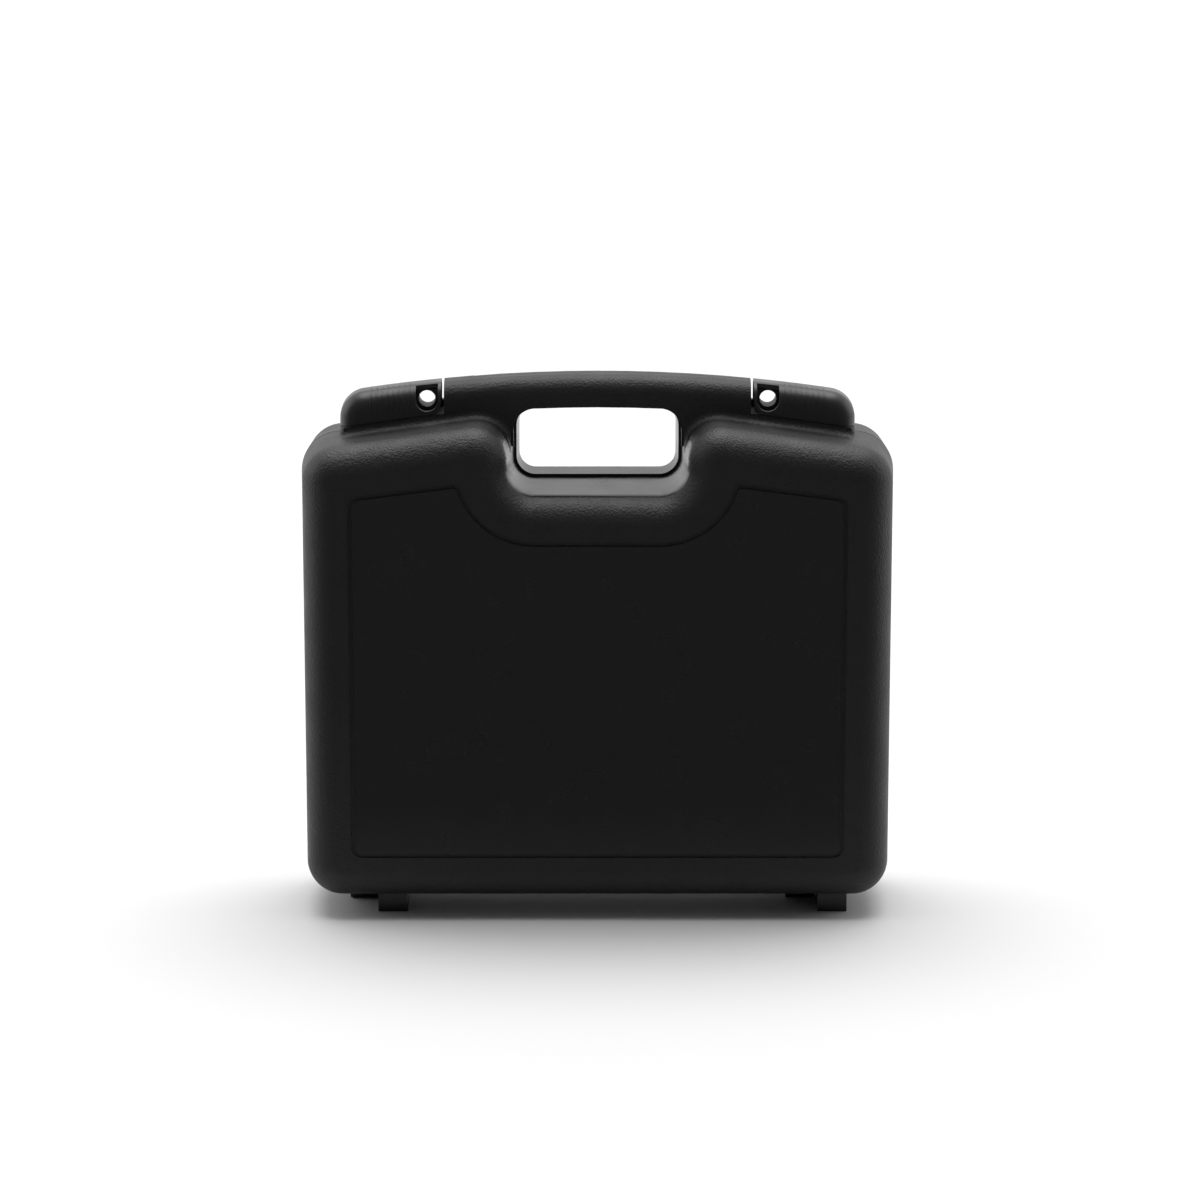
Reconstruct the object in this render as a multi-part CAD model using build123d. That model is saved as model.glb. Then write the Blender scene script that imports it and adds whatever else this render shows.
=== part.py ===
from build123d import *
import math
import os

# Tool case: two moulded polypropylene half shells hinged on their feet, with a handle moulded
# into both halves, two sliding latches with padlock holes, and a foam lining.
# Frame: the case stands closed and upright on its feet. X runs along its width, -Y is the front,
# +Z is up. The origin lies on the floor, under the middle of the parting plane.

# Overall form of one half shell
case_width = 300.0
half_depth = 43.0
wall = 2.5
draft = 3.5
body_bottom = 9.0
shoulder_peak_height = 264.88
shoulder_slope = 8.0
corner_radius = 20.0
front_edge_radius = 16.0
parting_gap = 0.3
rim_chamfer = 0.5

# Handle and its opening
handle_half_thickness = 12.4
handle_rise = 11.72
handle_top_radius = 800.0
handle_width = 154.6
handle_edge_radius = 9.0
handle_beam = 15.7
cove_radius = 4.0
cove_end_setback = 2.0
handle_root_rise = 18.2
handle_hollow_drop = 0.9
handle_rib = 1.6
handle_rib_pitch = 17.0
opening_width = 84.6
opening_height = 38.1
opening_radius = 11.0
notch_flare = 5.7
notch_shoulder_radius = 17.0
collar_step = 1.3
collar_draft = 6.0

# Label panel groove
panel_side_margin = 26.0
panel_bottom_margin = 25.9
panel_top_margin = 27.25
panel_slope = 7.4
panel_bay_x = 31.0
panel_bay_rise = 14.2
panel_bay_radius = 40.0
panel_corner_radius = 4.5
panel_bay_corner_radius = 3.0
groove_width = 2.2
groove_depth = 0.9

# Feet and hinges
foot_width = 15.0
foot_reach = 26.0
foot_gap = 0.4
foot_pair_inset = 37.4
hinge_height = 4.3
knuckle_radius = 4.2
pin_radius = 1.5
pin_clearance = 0.05
pin_recess = 0.5
foot_edge_radius = 0.8

# Latches
latch_end_margin = 20.0
latch_gap = 1.5
latch_wall = 2.2
latch_roof = 2.4
latch_clearance = 0.3
latch_sill_height = 3.9
latch_end_radius = 14.0
latch_boss_radius = 7.0
latch_edge_radius = 9.0
latch_roof_reach = 8.0
latch_rib = 1.6
keeper_step = 3.2
rail_wall = 2.5
rail_lap = 3.9
rail_drop = 5.6
rail_setback = 11.0
bead_height = 1.6
bead_depth = 1.2
bead_rise = 2.8

# Padlock lugs
padlock_inset = 7.1
padlock_rise = 7.59
padlock_radius = 4.2
lug_half_width = 5.3
lug_thickness = 6.0
lug_chamfer = 1.1

# Foam lining
foam_clearance = 0.4
pad_thickness = 5.0
block_top = 3.0
lid_foam_front = 13.0
pocket_corner_radius = 8.0

# Tool pockets in the base foam, as seen with the case open: middle x, middle z, width, height
instrument_pocket = (-62.0, 108.0, 104.0, 132.0)
driver_pocket = (13.0, 108.0, 26.0, 132.0)
lower_pocket = (79.0, 73.0, 82.0, 62.0)
upper_pocket = (79.0, 143.0, 82.0, 62.0)

# How far a trimming solid reaches past what it trims, and what counts as the same place
overrun = 1.0
tolerance = 0.01

# Worked out from the sizes above
half_turn = Rot(0, 0, 180)
half_width = case_width / 2
rise = math.tan(math.radians(shoulder_slope))
half_gap = parting_gap / 2
handle_half_width = handle_width / 2
handle_top_height = shoulder_peak_height + handle_rise
opening_top = handle_top_height - handle_beam
opening_bottom = opening_top - opening_height
handle_root_height = opening_bottom + handle_root_rise
handle_hollow_bottom = opening_top - handle_hollow_drop
latch_inner = handle_half_width + latch_gap
latch_outer = half_width - latch_end_margin
latch_middle = (latch_inner + latch_outer) / 2
padlock_x = latch_inner + padlock_inset
window_half = lug_half_width + latch_clearance
rail_inner = padlock_x + window_half + latch_clearance
rail_outer = latch_outer - rail_setback
rail_front = handle_half_thickness - latch_wall - latch_clearance
rail_back = rail_front - rail_wall
hollow_end = latch_outer - latch_wall
foot_pair_middle = half_width - foot_pair_inset
panel_half_width = half_width - panel_side_margin
panel_bottom = body_bottom + panel_bottom_margin
panel_bay_z = opening_bottom + panel_bay_rise
lining_depth = half_depth - wall - foam_clearance


def shoulder_at(x):
    """Height of the shoulder line at the parting plane."""
    return shoulder_peak_height - abs(x) * rise


def crown_at(x):
    """Height of the arched top of the handle and latches."""
    return handle_top_height - handle_top_radius + math.sqrt(handle_top_radius**2 - x**2)


def latch_low(x):
    """Height of the latch's lower edge."""
    return shoulder_at(x) + latch_sill_height


# Heights of the latch's straight ceiling and of the rail, above the latch's lower edge
ceiling = crown_at(latch_middle) - latch_roof - latch_low(latch_middle)
rail_top = ceiling - rail_drop
padlock_height = latch_low(padlock_x) + padlock_rise


def front_prism(face, start, end):
    """A face drawn in the front view, made solid from y = -start to y = -end."""
    return Pos(0, -start, 0) * extrude(Plane.XZ * face, end - start)


def outline(points):
    """A closed face through straight runs."""
    return make_face(Polyline(*points, close=True))


def body_face(inset):
    """The outline of the body at the parting plane, without the bay for the hand."""
    side = half_width - inset
    bottom = body_bottom + inset
    drop = inset / math.cos(math.radians(shoulder_slope))
    apex = shoulder_at(0) - drop
    edge = shoulder_at(side) - drop
    face = outline([(-side, bottom), (side, bottom), (side, edge), (0, apex), (-side, edge)])
    corners = face.vertices().filter_by(lambda v: abs(v.X) > tolerance)
    return fillet(corners, corner_radius - inset)


def runs_back(edge):
    """True for an edge that runs from the front to the back, over most of the depth."""
    along = edge.tangent_at(0.5)
    return abs(along.Y) > abs(along.X) + abs(along.Z) and edge.length > half_depth / 2


def body_form(inset):
    """The outer form of one half shell for inset 0, and its hollow for inset = wall."""
    form = extrude(Plane.XZ * body_face(inset), half_depth - inset, taper=draft)

    notch_half = opening_width / 2 + inset
    notch_face = outline(
        [
            (-notch_half, opening_bottom - inset),
            (notch_half, opening_bottom - inset),
            (notch_half, handle_top_height),
            (-notch_half, handle_top_height),
        ]
    )
    notch_face = fillet(notch_face.vertices().sort_by(Axis.Y)[:2], opening_radius + inset)
    form -= extrude(Plane.XZ * notch_face, half_depth, taper=-notch_flare)

    flare_run = half_depth * math.tan(math.radians(notch_flare))
    edges = form.edges().filter_by(lambda e: abs(e.center().X) < notch_half + flare_run)
    edges = edges.filter_by(lambda e: e.center().Z > handle_root_height)
    shoulder_edges = edges.filter_by(runs_back)
    form = fillet(shoulder_edges, notch_shoulder_radius - inset)
    front = form.faces().sort_by(Axis.Y)[0]
    return fillet(front.edges(), front_edge_radius - inset)


def with_rim(form):
    """The outer form with its seam edge broken, so that the two halves meet in a V groove."""
    rim = rim_chamfer + half_gap
    bevel = extrude(Plane.XZ * body_face(rim), rim, taper=-45)
    behind = slab(-half_width, half_width, -half_depth, -rim, 0, handle_top_height)
    return form & (bevel + behind)


def crown_form(inset):
    """The arched bar that the handle and both latches are parts of, over its full thickness."""
    half = latch_outer - inset
    low = handle_root_height
    radius = handle_top_radius - inset
    top = handle_top_height - inset
    side_top = top - radius + math.sqrt(radius**2 - half**2)
    sides = Polyline((-half, side_top), (-half, low), (half, low), (half, side_top))
    arch = ThreePointArc((half, side_top), (0, top), (-half, side_top))
    face = make_face([sides, arch])
    face = fillet(face.vertices().sort_by(Axis.Y)[2:], latch_end_radius - inset)
    depth = handle_half_thickness - inset
    form = front_prism(face, -depth, depth)
    rims = form.edges().filter_by(lambda e: abs(abs(e.center().Y) - depth) < tolerance)
    rims = rims.filter_by(lambda e: e.center().Z > shoulder_at(half) + inset)
    rims = rims.filter_by(lambda e: e.geom_type == GeomType.CIRCLE)
    return fillet(rims, handle_edge_radius - inset)


def slab(x_low, x_high, y_low, y_high, z_low, z_high):
    """A block between two corners."""
    size = (x_high - x_low, y_high - y_low, z_high - z_low)
    middle = ((x_low + x_high) / 2, (y_low + y_high) / 2, (z_low + z_high) / 2)
    return Pos(*middle) * Box(*size)


def opening_face(inset):
    """The finger opening in the front view. A negative inset makes it larger."""
    half = opening_width / 2 - inset
    low = opening_bottom + inset
    top = opening_top - inset
    side_top = crown_at(half) - handle_beam - inset
    sides = Polyline((-half, side_top), (-half, low), (half, low), (half, side_top))
    arch = ThreePointArc((half, side_top), (0, top), (-half, side_top))
    face = make_face([sides, arch])
    return fillet(face.vertices(), opening_radius - inset)


def handle_block(crown, opening):
    """The half of the handle that one shell carries, solid."""
    reach = slab(
        -handle_half_width, handle_half_width, -handle_half_thickness, 0,
        handle_root_height, handle_top_height + overrun,
    )
    block = (crown & reach) - opening
    seam = block.edges().filter_by(lambda e: abs(e.center().Y) < tolerance)
    top_edge = seam.sort_by(lambda e: e.center().Z)[-1:]
    return chamfer(top_edge, rim_chamfer + half_gap)


def cove():
    """The concave blend between the left shoulder and the upright face of the handle and ledge."""
    sink = handle_half_thickness * math.tan(math.radians(draft))
    wall_x = opening_width / 2 + handle_half_thickness * math.tan(math.radians(notch_flare))
    slope = math.radians(shoulder_slope)

    def on_shoulder(x):
        return Vector(-x, -handle_half_thickness, shoulder_at(x) - sink / math.cos(slope))

    # The path follows the shoulder and then its round corner down into the notch
    centre_x = wall_x + notch_shoulder_radius
    centre = on_shoulder(centre_x) - Vector(0, 0, notch_shoulder_radius / math.cos(slope))

    def round_corner(angle):
        return centre + notch_shoulder_radius * Vector(math.cos(angle), 0, math.sin(angle))

    tangent = math.pi / 2 + slope
    start = on_shoulder(latch_outer)
    run = Line(start, round_corner(tangent))
    bend = ThreePointArc(round_corner(tangent), round_corner(tangent / 2), round_corner(0))

    across = Plane(origin=start, x_dir=(0, 1, 0), z_dir=(math.cos(slope), 0, math.sin(slope)))
    drop = cove_radius * math.tan(math.radians(draft))
    half = cove_radius * math.sqrt(0.5)
    arc = ThreePointArc(
        (0, cove_radius), (half - cove_radius, cove_radius - half - drop / 2), (-cove_radius, -drop)
    )
    back = Polyline(
        (-cove_radius, -drop), (-cove_radius, -overrun), (overrun, -overrun),
        (overrun, cove_radius), (0, cove_radius),
    )
    blend = sweep(across * make_face([arc, back]), path=Wire([run, bend]))
    outer_end = latch_outer - cove_end_setback
    keep = slab(-outer_end, -wall_x, -half_depth, 0, 0, handle_top_height)
    return blend & keep


def handle_hollow(crown):
    """The channel inside the handle, split by cross ribs."""
    half = handle_half_width - wall
    reach = slab(-half, half, -handle_half_thickness, 0, handle_hollow_bottom, handle_top_height)
    hollow = crown & reach
    hollow -= front_prism(opening_face(-wall), -overrun, half_depth)
    count = int(half // handle_rib_pitch)
    for index in range(-count, count + 1):
        x = index * handle_rib_pitch
        rib = slab(
            x - handle_rib / 2, x + handle_rib / 2, -half_depth, 0,
            handle_hollow_bottom, handle_top_height,
        )
        hollow -= rib
    return hollow


def foot(x):
    """A foot whose rear end is a hinge knuckle."""
    low = x - foot_width / 2
    high = x + foot_width / 2
    block = slab(low, high, -foot_reach, 0, 0, body_bottom + wall - parting_gap)
    toe = block.edges().filter_by(Axis.X).sort_by(lambda e: e.center().Y + e.center().Z)[:1]
    block = fillet(toe, foot_edge_radius)
    knuckle = Pos(x, 0, hinge_height) * Rot(0, 90, 0) * Cylinder(knuckle_radius, foot_width)
    bore = Pos(x, 0, hinge_height) * Rot(0, 90, 0) * Cylinder(pin_radius + pin_clearance, foot_width)
    return block + knuckle - bore


def band(x_low, x_high, low, high, start, end):
    """A strip parallel to the left shoulder, between two heights above the latch's lower edge."""
    points = [
        (-x_high, latch_low(x_high) + low),
        (-x_low, latch_low(x_low) + low),
        (-x_low, latch_low(x_low) + high),
        (-x_high, latch_low(x_high) + high),
    ]
    return front_prism(outline(points), start, end)


def sill(crown):
    """The ledge on the shoulder that the latch slides on."""
    ledge = band(
        handle_half_width - overrun, latch_outer, -latch_sill_height - wall / 2, -latch_clearance,
        0, handle_half_thickness,
    )
    return ledge & crown


def lug():
    """One half of the padlock lug."""
    block = band(
        padlock_x - lug_half_width, padlock_x + lug_half_width, -overrun, ceiling - latch_clearance,
        0, lug_thickness,
    )
    top = block.faces().sort_by(Axis.Z)[-1]
    block = chamfer(top.edges().sort_by(Axis.Y)[0], lug_chamfer)
    bore = Pos(-padlock_x, 0, padlock_height) * Rot(90, 0, 0) * Cylinder(padlock_radius, half_depth)
    return block - bore


def rail():
    """The wall on the front shell that the latch runs along, with the groove for its bead."""
    web = band(rail_inner, rail_outer, -overrun, rail_top, rail_back, rail_front)
    groove = band(
        rail_inner, rail_outer + overrun,
        bead_rise - latch_clearance, bead_rise + bead_height + latch_clearance,
        rail_front - bead_depth, rail_front + overrun,
    )
    return web - groove


def keeper(crown):
    """The wall on the rear shell that closes the back of the latch."""
    thickness = handle_half_thickness - latch_roof_reach - latch_clearance
    reach = slab(
        -latch_outer, -handle_half_width + overrun, -handle_half_thickness,
        -handle_half_thickness + thickness, body_bottom, handle_top_height + overrun,
    )
    above = band(latch_inner, latch_outer, -overrun, handle_top_height, 0, half_depth)
    above += band(handle_half_width - overrun, latch_inner, -overrun, keeper_step, 0, half_depth)
    window = front_prism(Pos(-padlock_x, padlock_height) * Circle(window_half), 0, half_depth)
    return (crown & reach & above) - window


def both_sides(piece):
    """A piece of the left side together with its mirror image."""
    return piece + mirror(piece, about=Plane.YZ)


def panel_face(grow):
    """The label panel in the front view, with a bay under the handle, grown on every side."""
    half = panel_half_width + grow
    low = panel_bottom - grow
    edge = shoulder_at(panel_half_width) - panel_top_margin + grow
    radius = panel_bay_radius - grow
    bay_low = panel_bay_z - radius

    # Where the sloping top line meets the round corner of the bay
    slope = math.tan(math.radians(panel_slope))
    level = edge + (half - panel_bay_x) * slope - panel_bay_z
    reach = level * slope + math.sqrt(radius**2 * (1 + slope**2) - level**2)
    reach /= 1 + slope**2
    lift = level - reach * slope
    meet = (panel_bay_x + reach, panel_bay_z + lift)
    angle = (math.atan2(lift, reach) - math.pi / 2) / 2
    middle = (panel_bay_x + radius * math.cos(angle), panel_bay_z + radius * math.sin(angle))

    bay = Line((-panel_bay_x, bay_low), (panel_bay_x, bay_low))
    right = ThreePointArc((panel_bay_x, bay_low), middle, meet)
    sides = Polyline(meet, (half, edge), (half, low), (-half, low), (-half, edge), (-meet[0], meet[1]))
    left = ThreePointArc((-meet[0], meet[1]), (-middle[0], middle[1]), (-panel_bay_x, bay_low))
    face = make_face([bay, right, sides, left])
    outer = face.vertices().filter_by(lambda v: abs(v.X) > meet[0] + tolerance)
    face = fillet(outer, panel_corner_radius + grow)
    inner = face.vertices().filter_by(lambda v: abs(abs(v.X) - meet[0]) < tolerance)
    return fillet(inner, panel_bay_corner_radius + grow)


def panel_groove():
    """The shallow groove round the label panel."""
    ring = panel_face(groove_width / 2) - panel_face(-groove_width / 2)
    return front_prism(ring, half_depth - groove_depth, half_depth + overrun)


# The forms that several pieces share
outer_body = with_rim(body_form(0))
inner_body = body_form(wall)
lining_body = body_form(wall + foam_clearance)
outer_crown = crown_form(0)
inner_crown = crown_form(wall)


def half_shell(opening, extras):
    """One half shell, drawn as the front one: body, handle half, feet, and the latch parts."""
    shell = outer_body + handle_block(outer_crown, opening) + both_sides(cove())
    shell -= inner_body
    shell -= handle_hollow(inner_crown)
    shell += both_sides(sill(outer_crown))
    shell += both_sides(lug())
    for extra in extras:
        shell += extra
    shell -= panel_groove()
    shell += foot(-foot_pair_middle + (foot_width + foot_gap) / 2)
    shell += foot(foot_pair_middle + (foot_width + foot_gap) / 2)
    keep_clear = slab(-half_width, half_width, -half_gap, 0, body_bottom, handle_top_height)
    return shell - keep_clear


def front_shell():
    """The lid: the half shell that carries the latches."""
    opening = front_prism(opening_face(0), -overrun, half_depth)
    return half_shell(opening, [both_sides(rail())])


def rear_shell():
    """The base: the same half shell turned round, with a keeper behind each latch."""
    face = opening_face(collar_step)
    opening = extrude(Plane.XZ * face, handle_half_thickness, taper=collar_draft)
    ring = front_prism(opening_face(-wall / 2), 0, handle_half_thickness)
    ring -= slab(-half_width, half_width, -half_depth, 0, handle_root_height, case_width)
    shell = half_shell(opening, [both_sides(keeper(outer_crown)), ring - opening])
    return half_turn * shell


def latch(crown):
    """The left latch: a hooded slider over the rail."""
    face = outline(
        [
            (-latch_inner, latch_low(latch_inner)),
            (-latch_inner, handle_top_height + overrun),
            (-latch_outer, handle_top_height + overrun),
            (-latch_outer, latch_low(latch_outer)),
        ]
    )
    boss = face.vertices().sort_by(Axis.Y)[:2].sort_by(Axis.X)[1]
    face = fillet(boss, latch_boss_radius)
    hood = crown & front_prism(face, -latch_roof_reach, handle_half_thickness)

    hollow_face = outline(
        [
            (-handle_half_width, latch_low(handle_half_width) - latch_roof_reach),
            (-handle_half_width, latch_low(handle_half_width) + ceiling),
            (-hollow_end, latch_low(hollow_end) + ceiling),
            (-hollow_end, latch_low(hollow_end) - latch_roof_reach),
        ]
    )
    end = hollow_face.vertices().sort_by(Axis.X)[:2].sort_by(Axis.Y)[1]
    hollow_face = fillet(end, latch_end_radius - latch_wall)
    hollow = front_prism(hollow_face, -half_depth, handle_half_thickness - latch_wall)
    front = hollow.faces().sort_by(Axis.Y)[0]
    rim = front.edges().filter_by(lambda e: e.center().Z > latch_low(latch_outer) + ceiling / 2)
    rim = rim.filter_by(lambda e: abs(e.center().X) > handle_half_width + tolerance)
    hollow = fillet(rim, latch_edge_radius - latch_wall)

    edge_start = lug_thickness + latch_clearance
    window = front_prism(
        Pos(-padlock_x, padlock_height) * Circle(window_half), edge_start, half_depth
    )
    window += slab(
        -padlock_x - window_half, -padlock_x + window_half, -half_depth, -edge_start,
        padlock_height, handle_top_height + overrun,
    )
    rib_front = rail_back - latch_clearance
    hook = band(
        rail_inner + latch_clearance, rail_outer, rail_top - rail_lap, ceiling + overrun,
        rib_front - latch_rib, rib_front,
    )
    bead = band(
        rail_inner + latch_clearance * 2, rail_outer, bead_rise, bead_rise + bead_height,
        rail_front - bead_depth + latch_clearance,
        handle_half_thickness - latch_wall + latch_clearance,
    )
    return hood - hollow - window + (hook & crown) + bead


def hinge_pin():
    """The left hinge pin, through one foot of each shell."""
    length = 2 * foot_width + foot_gap - 2 * pin_recess
    return Pos(-foot_pair_middle, 0, hinge_height) * Rot(0, 90, 0) * Cylinder(pin_radius, length)


def lining(start, end):
    """Foam that fits the hollow of a half shell between two depths."""
    return lining_body & slab(-half_width, half_width, -end, -start, 0, case_width)


def pocket(x, z, width, height):
    """A tool pocket right through the foam block."""
    face = Pos(x, z) * RectangleRounded(width, height, pocket_corner_radius)
    return front_prism(face, 0, half_depth)


def base_foam_block():
    """The thick foam in the base, with its pockets."""
    block = lining(block_top, lining_depth - pad_thickness)
    for place in (instrument_pocket, driver_pocket, lower_pocket, upper_pocket):
        block -= pocket(*place)
    return block


def write(name, shape):
    """Saves one named piece."""
    export_step(shape, f"parts/{name}.step")
    print(name, len(shape.solids()), round(shape.volume), shape.is_valid)


os.makedirs("parts", exist_ok=True)
write("front_shell", front_shell())
write("rear_shell", rear_shell())
left_latch = latch(outer_crown)
write("latch_left", left_latch)
write("latch_right", mirror(left_latch, about=Plane.YZ))
left_pin = hinge_pin()
write("hinge_pin_left", left_pin)
write("hinge_pin_right", mirror(left_pin, about=Plane.YZ))
write("base_foam_block", half_turn * mirror(base_foam_block(), about=Plane.YZ))
write("base_foam_pad", half_turn * lining(lining_depth - pad_thickness, lining_depth))
write("lid_foam", lining(lid_foam_front, lining_depth))
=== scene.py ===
# %% [markdown]
# # Tool case
# The case stands closed on its feet, with its front to the camera. The solids come from the
# CAD model in one shared frame: X along the width, -Y the front, Z up, in metres. This script
# gives them real surfaces, adds the details that are too fine for the CAD model, and sets the
# light and the camera.

import math

import bmesh
import bpy
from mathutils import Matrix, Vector


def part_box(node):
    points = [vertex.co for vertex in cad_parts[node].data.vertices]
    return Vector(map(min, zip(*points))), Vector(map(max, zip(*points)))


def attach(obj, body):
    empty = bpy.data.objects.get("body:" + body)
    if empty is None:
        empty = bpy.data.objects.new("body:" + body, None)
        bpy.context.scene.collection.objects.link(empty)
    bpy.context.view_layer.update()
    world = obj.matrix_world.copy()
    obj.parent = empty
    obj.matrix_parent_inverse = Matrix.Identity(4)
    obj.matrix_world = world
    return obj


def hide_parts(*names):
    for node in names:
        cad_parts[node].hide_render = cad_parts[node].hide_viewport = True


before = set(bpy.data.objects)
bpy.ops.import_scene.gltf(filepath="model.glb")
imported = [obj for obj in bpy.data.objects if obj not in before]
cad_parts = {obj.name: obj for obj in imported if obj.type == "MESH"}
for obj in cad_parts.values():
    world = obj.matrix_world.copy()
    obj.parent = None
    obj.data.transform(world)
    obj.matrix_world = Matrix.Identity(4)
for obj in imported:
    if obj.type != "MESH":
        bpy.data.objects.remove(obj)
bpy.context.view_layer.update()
MM = 0.001
scene = bpy.context.scene

# %% [markdown]
# Each material is a small tree of nodes. A colour is written the way a colour picker shows it
# and is turned into linear light by one function. A pattern's scale is a number of cells per
# metre, worked out from a real size in millimetres, so it stays true on every piece.

# %% Material helpers


def to_linear(code):
    """A picker colour such as '#202022' as linear red, green, blue and alpha."""
    channels = [int(code[i : i + 2], 16) / 255 for i in (1, 3, 5)]
    curve = [c / 12.92 if c <= 0.04045 else ((c + 0.055) / 1.055) ** 2.4 for c in channels]
    return (*curve, 1.0)


def add_node(tree, kind, inputs=None, **settings):
    """Adds a node, sets its properties, and fills or links its inputs."""
    node = tree.nodes.new(kind)
    for name, value in settings.items():
        setattr(node, name, value)
    for name, value in (inputs or {}).items():
        if isinstance(value, bpy.types.NodeSocket):
            tree.links.new(value, node.inputs[name])
        else:
            node.inputs[name].default_value = value
    return node


def new_material(name, code, roughness, metallic=0.0):
    """A material with one surface shader, and the place on the object as a socket."""
    material = bpy.data.materials.new(name)
    material.use_nodes = True
    tree = material.node_tree
    shader = tree.nodes["Principled BSDF"]
    shader.inputs["Base Color"].default_value = to_linear(code)
    shader.inputs["Roughness"].default_value = roughness
    shader.inputs["Metallic"].default_value = metallic
    place = add_node(tree, "ShaderNodeTexCoord").outputs["Object"]
    return material, tree, shader, place


def bump(tree, shader, height, depth):
    """Turns a height from 0 to 1 into relief of a real depth."""
    relief = add_node(tree, "ShaderNodeBump", {"Height": height, "Distance": depth, "Strength": 1.0})
    tree.links.new(relief.outputs["Normal"], shader.inputs["Normal"])


# %% [markdown]
# The shells are moulded in black polypropylene. The mould is etched with a fine leather grain
# everywhere but on the label panel, the lands of the opening, the seam and the feet. The grain
# is a cell pattern about a millimetre wide, softened and about two tenths of a millimetre deep.

# %% Plastics
GRAIN_CELL = 1.05 * MM
GRAIN_DEPTH = 0.2 * MM
GRAIN_SOFTNESS = 0.6
SPECK_SIZE = 0.35 * MM
SPECK_DEPTH = 0.004 * MM
SPECK_SHARE = 0.35
CLOUD_SIZE = 18 * MM
CLOUD_LOW, CLOUD_HIGH = 0.3, 0.7
GLOSS_CHANGE = 0.05


def noise(tree, place, size, detail=2.0):
    """A cloud pattern whose patches have a real size."""
    pattern = add_node(
        tree, "ShaderNodeTexNoise", {"Vector": place, "Scale": 1 / size, "Detail": detail},
    )
    return pattern.outputs["Fac"]


def plastic(name, code, roughness):
    """Moulded polypropylene, with faint cloudy changes of its gloss."""
    material, tree, shader, place = new_material(name, code, roughness)
    cloud = noise(tree, place, CLOUD_SIZE, detail=3.0)
    gloss = add_node(
        tree, "ShaderNodeMapRange",
        {"Value": cloud, "From Min": CLOUD_LOW, "From Max": CLOUD_HIGH,
         "To Min": roughness - GLOSS_CHANGE, "To Max": roughness + GLOSS_CHANGE},
    )
    tree.links.new(gloss.outputs["Result"], shader.inputs["Roughness"])
    return material, tree, shader, place


def grained_plastic():
    """Polypropylene from an etched mould: a fine leather grain."""
    material, tree, shader, place = plastic("grained_polypropylene", "#1c1c1d", 0.5)
    cells = add_node(
        tree, "ShaderNodeTexVoronoi",
        {"Vector": place, "Scale": 1 / GRAIN_CELL, "Smoothness": GRAIN_SOFTNESS},
        feature="SMOOTH_F1",
    )
    height = add_node(
        tree, "ShaderNodeMath",
        {0: noise(tree, place, SPECK_SIZE), 1: SPECK_SHARE, 2: cells.outputs["Distance"]},
        operation="MULTIPLY_ADD",
    )
    bump(tree, shader, height.outputs["Value"], GRAIN_DEPTH)
    return material


def smooth_plastic(name, code, roughness):
    """Polypropylene from a plain mould: almost flat, with very fine specks."""
    material, tree, shader, place = plastic(name, code, roughness)
    bump(tree, shader, noise(tree, place, SPECK_SIZE), SPECK_DEPTH)
    return material


GRAINED = grained_plastic()
SMOOTH = smooth_plastic("smooth_polypropylene", "#1b1b1c", 0.24)
SATIN = smooth_plastic("satin_polypropylene", "#232324", 0.36)

# %% [markdown]
# The hinge pins are drawn steel, with fine lines along their length and a soft shine. The foam
# is charcoal polyurethane, whose open cells are about a millimetre wide and leave it quite matt.

# %% Steel and foam
WIRE_LINE = 0.2 * MM
WIRE_LINE_DEPTH = 0.005 * MM
WIRE_STRETCH = (0.05, 1.0, 1.0)
FOAM_CELL = 1.1 * MM
FOAM_CELL_DEPTH = 0.3 * MM


def drawn_steel():
    """Bright drawn steel wire."""
    material, tree, shader, place = new_material("drawn_steel", "#b4b3af", 0.28, metallic=1.0)
    stretched = add_node(tree, "ShaderNodeMapping", {"Vector": place, "Scale": WIRE_STRETCH})
    bump(tree, shader, noise(tree, stretched.outputs["Vector"], WIRE_LINE), WIRE_LINE_DEPTH)
    return material


def open_foam():
    """Charcoal polyurethane foam with open cells, darker in the middle of each cell as painted shade
    in the pits of the bump.
    """
    material, tree, shader, place = new_material("charcoal_foam", "#3a3a3d", 0.92)
    cells = add_node(tree, "ShaderNodeTexVoronoi", {"Vector": place, "Scale": 1 / FOAM_CELL})
    # Painted shade: the colour darkens towards the middle of each cell, where the bump sinks the
    # surface.
    pit_shade_tone = add_node(
        tree, "ShaderNodeMix",
        {0: cells.outputs["Distance"], 6: to_linear("#2b2b2e"), 7: to_linear("#47474a")},
        data_type="RGBA",
    )
    tree.links.new(pit_shade_tone.outputs[2], shader.inputs["Base Color"])
    bump(tree, shader, cells.outputs["Distance"], FOAM_CELL_DEPTH)
    return material


STEEL = drawn_steel()
FOAM = open_foam()
print("materials:", [m.name for m in (GRAINED, SMOOTH, SATIN, STEEL, FOAM)])

# %% [markdown]
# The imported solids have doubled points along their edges, which would show as facets. A copy
# of each solid gets its points joined and its soft edges smoothed, and replaces the solid.
# Large flat faces keep their own direction, so only the rounded edges shade round.

# %% Copies of the solids
MERGE_DISTANCE = 0.002 * MM
SOFT_ANGLE = math.radians(32)
FLAT_ANGLE = math.radians(0.5)


def finished(name, mesh, body, replaced):
    """Puts a mesh into the scene as a piece that rides on a body and replaces a node."""
    data = bpy.data.meshes.new(name)
    mesh.to_mesh(data)
    mesh.free()
    piece = bpy.data.objects.new(name, data)
    scene.collection.objects.link(piece)
    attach(piece, body)
    if replaced:
        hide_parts(replaced)
    return piece


def joined_solid(node):
    """The shape of a node with its doubled points joined."""
    mesh = bmesh.new()
    mesh.from_mesh(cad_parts[node].data)
    bmesh.ops.remove_doubles(mesh, verts=mesh.verts, dist=MERGE_DISTANCE)
    for face in mesh.faces:
        face.material_index = 0
    return mesh


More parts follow.
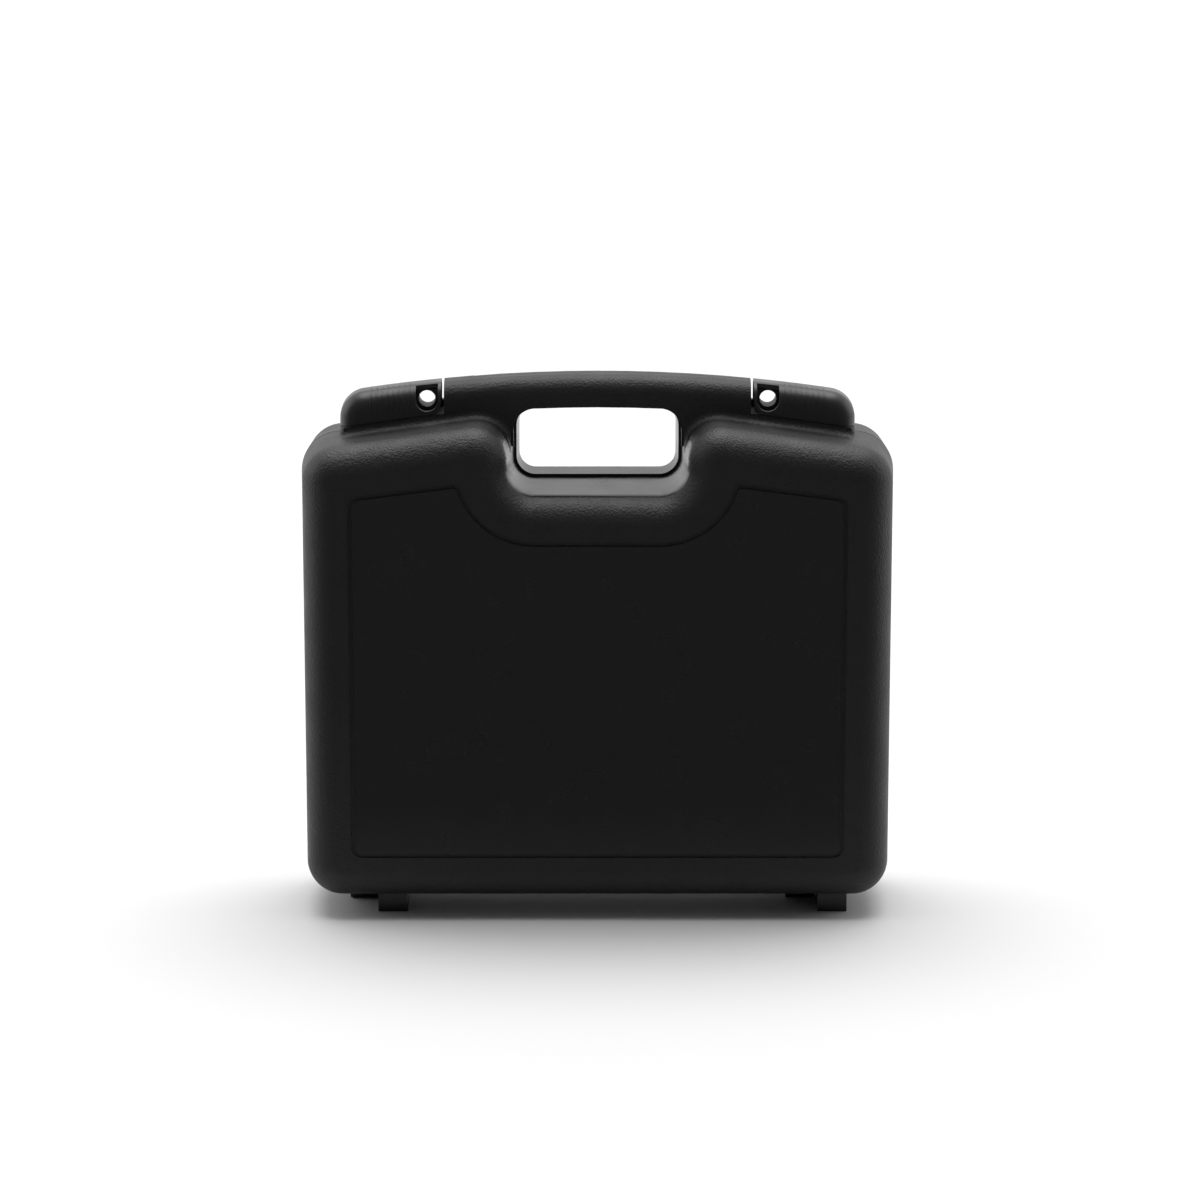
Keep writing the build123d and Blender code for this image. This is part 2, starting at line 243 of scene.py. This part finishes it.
def soften(mesh):
    """Smooth shading, with the true corners kept sharp."""
    for face in mesh.faces:
        face.smooth = True
    for edge in mesh.edges:
        edge.smooth = edge.is_manifold and edge.calc_face_angle(math.pi) < SOFT_ANGLE


def keep_flats(piece):
    """Lets each large flat face keep its own direction beside a rounded edge."""
    if "custom_normal" in piece.data.attributes:
        piece.data.attributes.remove(piece.data.attributes["custom_normal"])
    weighted = piece.modifiers.new("weighted_normals", "WEIGHTED_NORMAL")
    weighted.mode = "FACE_AREA"
    weighted.keep_sharp = True


def in_plane_patch(mesh, seed_test):
    """The faces that join up, in one plane, with the largest face that passes the test."""
    seed = max((f for f in mesh.faces if seed_test(f)), key=lambda f: f.calc_area())
    patch = {seed}
    queue = [seed]
    while queue:
        face = queue.pop()
        for edge in face.edges:
            for other in edge.link_faces:
                if other not in patch and other.normal.angle(seed.normal) < FLAT_ANGLE:
                    patch.add(other)
                    queue.append(other)
    return patch


# %% [markdown]
# On each shell the label panel is one flat face inside its groove, and it is smooth. So are the
# seam, the feet, and the lands of the opening, whose faces run from the front to the back. The
# rest is grained.

# %% Shells
HANDLE_FACE = 12.4 * MM
BODY_BOTTOM = 9.0 * MM
PANEL_Y = 43.0 * MM
OPENING_HALF = 42.3 * MM
OPENING_BOTTOM = 222.8 * MM
OPENING_TOP = 260.9 * MM
LAND_FLARE = 4.5 * MM
LAND_TILT = 0.3
LAND_ABOVE = 1.0 * MM
SEAM_DEPTH = 0.8 * MM
SAME_PLACE = 0.05 * MM
STRAIGHT_AHEAD = 0.999
SHOULDER_EDGE = 243.8 * MM
SHOULDER_RISE = math.tan(math.radians(8))
HALF_WIDTH = 150 * MM
SILL_HEIGHT = 4.2 * MM


def shoulder_at(x):
    """Height of the shoulder line at a distance from the middle."""
    return SHOULDER_EDGE + (HALF_WIDTH - abs(x)) * SHOULDER_RISE


def plain_mould(face):
    """True on the faces of a shell that the mould's grain leaves out."""
    centre = face.calc_center_median()
    depth = abs(centre.y)
    foot = centre.z < BODY_BOTTOM - 2 * SAME_PLACE
    seam = depth < SEAM_DEPTH
    land = (
        abs(face.normal.y) < LAND_TILT
        and abs(centre.x) < OPENING_HALF + LAND_FLARE
        and OPENING_BOTTOM - LAND_FLARE < centre.z < OPENING_TOP + LAND_ABOVE
    )
    return foot or seam or land


def shell(node, body, front):
    """A half shell with its panel and lands smooth and the rest grained."""
    mesh = joined_solid(node)
    mesh.normal_update()
    panel = in_plane_patch(
        mesh,
        lambda f: abs(f.calc_center_median().y - front * PANEL_Y) < SAME_PLACE
        and abs(f.normal.y) > STRAIGHT_AHEAD
        and abs(f.calc_center_median().x) < HALF_WIDTH / 2
        and f.calc_center_median().z < OPENING_BOTTOM,
    )
    for face in mesh.faces:
        face.material_index = int(face in panel or plain_mould(face))
    soften(mesh)
    piece = finished(f"{node}_grained", mesh, body, node)
    piece.data.materials.append(GRAINED)
    piece.data.materials.append(SMOOTH)
    keep_flats(piece)
    print(node, "faces:", len(piece.data.polygons), "of the panel:", len(panel))


shell("front_shell", "lid", -1)
shell("rear_shell", "base", 1)

# %% [markdown]
# The latches are satin mouldings, made like the shells from a smoothed copy of their solid. The
# pins are steel wire. Their solids are round enough, so they only get the steel.

# %% Latches and pins
for side in ("left", "right"):
    mesh = joined_solid(f"latch_{side}")
    mesh.normal_update()
    soften(mesh)
    slider = finished(f"latch_{side}_slider", mesh, f"latch_{side}", f"latch_{side}")
    slider.data.materials.append(SATIN)
    keep_flats(slider)
    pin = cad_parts[f"hinge_pin_{side}"]
    for pin_slot in pin.material_slots:
        pin_slot.material = STEEL
    print("latch and pin:", side)

# %% [markdown]
# Each latch has fine upright ribs for the thumb on its front, which run over the rounded top
# edge. One rib is a thin strip that follows the outline of the latch, and geometry nodes set
# copies of it side by side, each a little lower than the last because the top of the latch
# slopes down. The ribs are sunk into the latch so that nothing shows under them.

# %% Grip ribs
RIB_FIRST_X = 94.5 * MM
RIB_PITCH = 2.8 * MM
RIB_COUNT = 8
RIB_WIDTH = 1.2 * MM
RIB_PROUD = 0.3 * MM
RIB_SUNK = 0.4 * MM
# Each corner of a rib's section: its place across in rib widths, and its height on the latch.
RIB_SECTION = [(-0.5, -RIB_SUNK), (-0.3, RIB_PROUD), (0.3, RIB_PROUD), (0.5, -RIB_SUNK)]
EDGE_RADIUS = 9 * MM
CROWN_TOP = 276.6 * MM
CROWN_RADIUS = 800 * MM
RIB_FOOT_HEIGHT = 1.6 * MM
RIB_BACK_Y = 5.5 * MM
ARC_STEPS = 10


def crown_at(x):
    """Height of the arched top at a distance from the middle."""
    return CROWN_TOP - CROWN_RADIUS + math.sqrt(CROWN_RADIUS**2 - x**2)


def rib_path():
    """Points along the outline of the latch, each with the direction that faces outward."""
    top = crown_at(RIB_FIRST_X)
    foot_z = shoulder_at(RIB_FIRST_X) + SILL_HEIGHT + RIB_FOOT_HEIGHT
    path = [((-HANDLE_FACE, foot_z), (-1.0, 0.0))]
    for step in range(ARC_STEPS + 1):
        turn = math.pi / 2 * step / ARC_STEPS
        out = (-math.cos(turn), math.sin(turn))
        centre = (-HANDLE_FACE + EDGE_RADIUS, top - EDGE_RADIUS)
        path.append(((centre[0] + EDGE_RADIUS * out[0], centre[1] + EDGE_RADIUS * out[1]), out))
    path.append(((RIB_BACK_Y, top), (0.0, 1.0)))
    return path


def rib_mesh(side):
    """One rib, at the end of the row that is nearest the handle."""
    mesh = bmesh.new()
    path = rib_path()
    rings = []
    for index, ((y, z), (out_y, out_z)) in enumerate(path):
        tip = index in (0, len(path) - 1)
        ring = []
        for across, height in RIB_SECTION:
            lift = min(height, -RIB_PROUD) if tip else height
            x = side * (RIB_FIRST_X + across * RIB_WIDTH)
            ring.append(mesh.verts.new((x, y + out_y * lift, z + out_z * lift)))
        rings.append(ring)
    for low, high in zip(rings, rings[1:]):
        for i in range(len(RIB_SECTION)):
            j = (i + 1) % len(RIB_SECTION)
            mesh.faces.new((low[i], low[j], high[j], high[i]))
    mesh.faces.new(rings[0])
    mesh.faces.new(rings[-1])
    bmesh.ops.recalc_face_normals(mesh, faces=mesh.faces)
    soften(mesh)
    return mesh


def row_tree():
    """Geometry nodes that set copies of a piece in a straight row."""
    tree = bpy.data.node_groups.new("row_of_ribs", "GeometryNodeTree")
    tree.interface.new_socket("Piece", in_out="INPUT", socket_type="NodeSocketGeometry")
    tree.interface.new_socket("Count", in_out="INPUT", socket_type="NodeSocketInt")
    tree.interface.new_socket("Step", in_out="INPUT", socket_type="NodeSocketVector")
    tree.interface.new_socket("Material", in_out="INPUT", socket_type="NodeSocketMaterial")
    tree.interface.new_socket("Row", in_out="OUTPUT", socket_type="NodeSocketGeometry")
    given = add_node(tree, "NodeGroupInput")
    line = add_node(
        tree, "GeometryNodeMeshLine",
        {"Count": given.outputs["Count"], "Offset": given.outputs["Step"]},
        mode="OFFSET",
    )
    copies = add_node(
        tree, "GeometryNodeInstanceOnPoints",
        {"Points": line.outputs["Mesh"], "Instance": given.outputs["Piece"]},
    )
    real = add_node(tree, "GeometryNodeRealizeInstances", {"Geometry": copies.outputs["Instances"]})
    painted = add_node(
        tree, "GeometryNodeSetMaterial",
        {"Geometry": real.outputs["Geometry"], "Material": given.outputs["Material"]},
    )
    add_node(tree, "NodeGroupOutput", {"Row": painted.outputs["Geometry"]})
    return tree


def set_inputs(modifier, tree, values):
    """Fills the named inputs of a geometry nodes modifier."""
    for item in tree.interface.items_tree:
        if item.in_out == "INPUT" and item.name in values:
            modifier[item.identifier] = values[item.name]


def made_plain(piece):
    """Turns what the modifiers make into the plain mesh of the piece."""
    seen = piece.evaluated_get(bpy.context.evaluated_depsgraph_get())
    result = bpy.data.meshes.new_from_object(seen)
    piece.modifiers.clear()
    piece.data = result


ROW = row_tree()
for side_name, side in (("left", -1), ("right", 1)):
    grip = finished(f"latch_{side_name}_grip", rib_mesh(side), f"latch_{side_name}", None)
    half_row = RIB_COUNT / 2
    drop = crown_at(RIB_FIRST_X + RIB_PITCH * half_row) - crown_at(RIB_FIRST_X)
    row = grip.modifiers.new("row", "NODES")
    row.node_group = ROW
    step = (side * RIB_PITCH, 0.0, drop / half_row)
    set_inputs(row, ROW, {"Count": RIB_COUNT, "Step": step, "Material": SATIN})
    made_plain(grip)
    print(grip.name, "faces:", len(grip.data.polygons))

# %% [markdown]
# The lining is soft polyurethane foam. The block and the pad in the base are cut sheets, so
# they keep the CAD shape with their edges a little rounded. The foam in the lid is convoluted:
# its face is a field of soft bumps, made by a grid of waves that is cut to the outline of the
# CAD solid.

# %% Foam lining
FOAM_EDGE = 1.2 * MM
FOAM_CORNER = math.radians(50)
WAVE_PITCH = 26 * MM
WAVE_DEPTH = 9 * MM
WAVE_STEP = 2.6 * MM


def foam_sheet(node, body):
    """A cut sheet of foam with slightly rounded edges."""
    mesh = joined_solid(node)
    bmesh.ops.dissolve_limit(mesh, angle_limit=FLAT_ANGLE, verts=mesh.verts, edges=mesh.edges)
    soften(mesh)
    piece = finished(f"{node}_sheet", mesh, body, node)
    piece.data.materials.append(FOAM)
    edge = piece.modifiers.new("soft_edge", "BEVEL")
    edge.width = FOAM_EDGE
    edge.segments = 2
    edge.limit_method = "ANGLE"
    edge.angle_limit = FOAM_CORNER
    made_plain(piece)
    print(piece.name, "faces:", len(piece.data.polygons))


def wave_block(low, high):
    """A block between two corners whose rear face is a field of soft bumps."""
    mesh = bmesh.new()
    across = round((high.x - low.x) / WAVE_STEP)
    up = round((high.z - low.z) / WAVE_STEP)
    rows = []
    for k in range(up + 1):
        z = low.z + (high.z - low.z) * k / up
        row = []
        for i in range(across + 1):
            x = low.x + (high.x - low.x) * i / across
            wave = math.sin(math.tau * x / WAVE_PITCH) * math.sin(math.tau * z / WAVE_PITCH)
            row.append(mesh.verts.new((x, high.y - WAVE_DEPTH * (1 - wave) / 2, z)))
        rows.append(row)
    for under, over in zip(rows, rows[1:]):
        for i in range(across):
            mesh.faces.new((under[i], under[i + 1], over[i + 1], over[i]))
    rim = [e for e in mesh.edges if e.is_boundary]
    made = bmesh.ops.extrude_edge_only(mesh, edges=rim)
    for vert in [g for g in made["geom"] if isinstance(g, bmesh.types.BMVert)]:
        vert.co.y = low.y
    bmesh.ops.holes_fill(mesh, edges=[e for e in mesh.edges if e.is_boundary])
    bmesh.ops.recalc_face_normals(mesh, faces=mesh.faces)
    return mesh


def convoluted_foam(node, body):
    """The bumpy foam of the lid, within the solid of the CAD model."""
    low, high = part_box(node)
    margin = Vector((WAVE_STEP, 0, WAVE_STEP))
    mesh = wave_block(low - margin, high + margin)
    for face in mesh.faces:
        face.smooth = True
    piece = finished(f"{node}_convoluted", mesh, body, node)
    piece.data.materials.append(FOAM)
    cutter_mesh = joined_solid(node)
    cutter_data = bpy.data.meshes.new("lid_foam_outline")
    cutter_mesh.to_mesh(cutter_data)
    cutter_mesh.free()
    cutter = bpy.data.objects.new("lid_foam_outline", cutter_data)
    scene.collection.objects.link(cutter)
    cut = piece.modifiers.new("outline", "BOOLEAN")
    cut.operation = "INTERSECT"
    cut.solver = "EXACT"
    cut.object = cutter
    made_plain(piece)
    bpy.data.objects.remove(cutter)
    print(piece.name, "faces:", len(piece.data.polygons))


foam_sheet("base_foam_block", "base")
foam_sheet("base_foam_pad", "base")
convoluted_foam("lid_foam", "lid")

# %% [markdown]
# The case stands on a plain pale floor that fills the view. The sky is white behind the case
# and dark in front of it, as in a studio with a white backdrop: the tops of the case mirror the
# backdrop at a low angle and show light grey, while the front stays almost black. For the same
# reason the floor in front of the case is dark grey to mirror rays, and only to them.

# %% Floor and sky
FLOOR_HALF = 7.0
FLOOR_COLOUR = "#e8e8e8"
FLOOR_MIRRORED = "#4c4c4c"
FLOOR_FADE = (-0.25, 0.05)
SKY_FRONT = 0.08
SKY_BACK = 1.15
SKY_FADE = (-0.55, 0.45)


def floor():
    """The pale floor, which mirror rays see as dark grey in front of the case."""
    data = bpy.data.meshes.new("floor")
    corners = [(x * FLOOR_HALF, y * FLOOR_HALF, 0) for x, y in ((-1, -1), (1, -1), (1, 1), (-1, 1))]
    data.from_pydata(corners, [], [(0, 1, 2, 3)])
    ground = bpy.data.objects.new("floor", data)
    scene.collection.objects.link(ground)
    material, tree, shader, place = new_material("pale_floor", FLOOR_COLOUR, 0.9)
    shader.inputs["Specular IOR Level"].default_value = 0.0
    parts = add_node(tree, "ShaderNodeSeparateXYZ", {"Vector": place})
    in_front = add_node(
        tree, "ShaderNodeMapRange",
        {"Value": parts.outputs["Y"], "From Min": FLOOR_FADE[0], "From Max": FLOOR_FADE[1],
         "To Min": 1.0, "To Max": 0.0},
        interpolation_type="SMOOTHSTEP",
    )
    path = add_node(tree, "ShaderNodeLightPath")
    mirrored = add_node(
        tree, "ShaderNodeMath",
        {0: path.outputs["Is Glossy Ray"], 1: in_front.outputs["Result"]}, operation="MULTIPLY",
    )
    seen = add_node(
        tree, "ShaderNodeMix",
        {0: mirrored.outputs["Value"], 6: to_linear(FLOOR_COLOUR), 7: to_linear(FLOOR_MIRRORED)},
        data_type="RGBA",
    )
    tree.links.new(seen.outputs[2], shader.inputs["Base Color"])
    data.materials.append(material)


def sky():
    """White behind the case and dark in front of it; white wherever the camera sees it."""
    world = bpy.data.worlds.new("studio")
    scene.world = world
    world.use_nodes = True
    tree = world.node_tree
    background = tree.nodes["Background"]
    direction = add_node(tree, "ShaderNodeTexCoord").outputs["Generated"]
    parts = add_node(tree, "ShaderNodeSeparateXYZ", {"Vector": direction})
    level = add_node(
        tree, "ShaderNodeMapRange",
        {"Value": parts.outputs["Y"], "From Min": SKY_FADE[0], "From Max": SKY_FADE[1],
         "To Min": SKY_FRONT, "To Max": SKY_BACK},
        interpolation_type="SMOOTHSTEP",
    )
    path = add_node(tree, "ShaderNodeLightPath")
    strength = add_node(
        tree, "ShaderNodeMath", {0: level.outputs["Result"], 1: path.outputs["Is Camera Ray"]},
        operation="MAXIMUM",
    )
    background.inputs["Color"].default_value = (1, 1, 1, 1)
    tree.links.new(strength.outputs["Value"], background.inputs["Strength"])


floor()
sky()
print("floor:", 2 * FLOOR_HALF, "m wide; sky strength from", SKY_FRONT, "in front to", SKY_BACK)

# %% [markdown]
# One wide soft light stands high above and slightly behind the case. It is a sun with a very
# large disc, so it lights the whole floor evenly, and it shows along the rounded top edges.
# Two weaker square lights stand far to the sides and draw the soft light along the rounded
# sides; the left one is the stronger.

# %% Lights
TOP_TILT = math.radians(-11)
TOP_DISC = math.radians(52)
TOP_STRENGTH = 2.0
SIDE_SIZE = 1.6
SIDE_X, SIDE_Y, SIDE_Z = 2.6, 0.4, 1.2
LEFT_WATTS = 9.0
RIGHT_WATTS = 6.0
MIDDLE = Vector((0.0, 0.0, 0.14))


def lamp(name, kind, power):
    """A lamp of one kind."""
    data = bpy.data.lights.new(name, kind)
    data.energy = power
    made = bpy.data.objects.new(name, data)
    scene.collection.objects.link(made)
    return made


top_light = lamp("top_light", "SUN", TOP_STRENGTH)
top_light.data.angle = TOP_DISC
top_light.rotation_euler = (TOP_TILT, 0.0, 0.0)
for name, x, power in (("left_light", -SIDE_X, LEFT_WATTS), ("right_light", SIDE_X, RIGHT_WATTS)):
    side_light = lamp(name, "AREA", power)
    side_light.data.size = SIDE_SIZE
    side_light.location = (x, SIDE_Y, SIDE_Z)
    side_light.rotation_euler = (MIDDLE - side_light.location).to_track_quat("-Z", "Y").to_euler()

# %% [markdown]
# The camera looks slightly down from far in front, with a long lens. Its place was worked out
# from how the sides of the case draw together towards the floor and how deep the land under
# the handle shows.

# %% Camera
TILT = math.radians(14)
DISTANCE = 2.5
TARGET_HEIGHT = 0.136
SENSOR = 36.0
LENS = 146.55
SHIFT = (0.0021, 0.0353)
camera_data = bpy.data.cameras.new("camera")
camera_data.sensor_width = SENSOR
camera_data.lens = LENS
camera_data.shift_x, camera_data.shift_y = SHIFT
camera = bpy.data.objects.new("camera", camera_data)
camera.location = (0.0, -DISTANCE * math.cos(TILT), TARGET_HEIGHT + DISTANCE * math.sin(TILT))
camera.rotation_euler = (math.pi / 2 - TILT, 0.0, 0.0)
scene.collection.objects.link(camera)
scene.camera = camera
scene.view_settings.view_transform = "Standard"
print("camera at:", [round(v, 3) for v in camera.location], "lens in mm:", LENS)
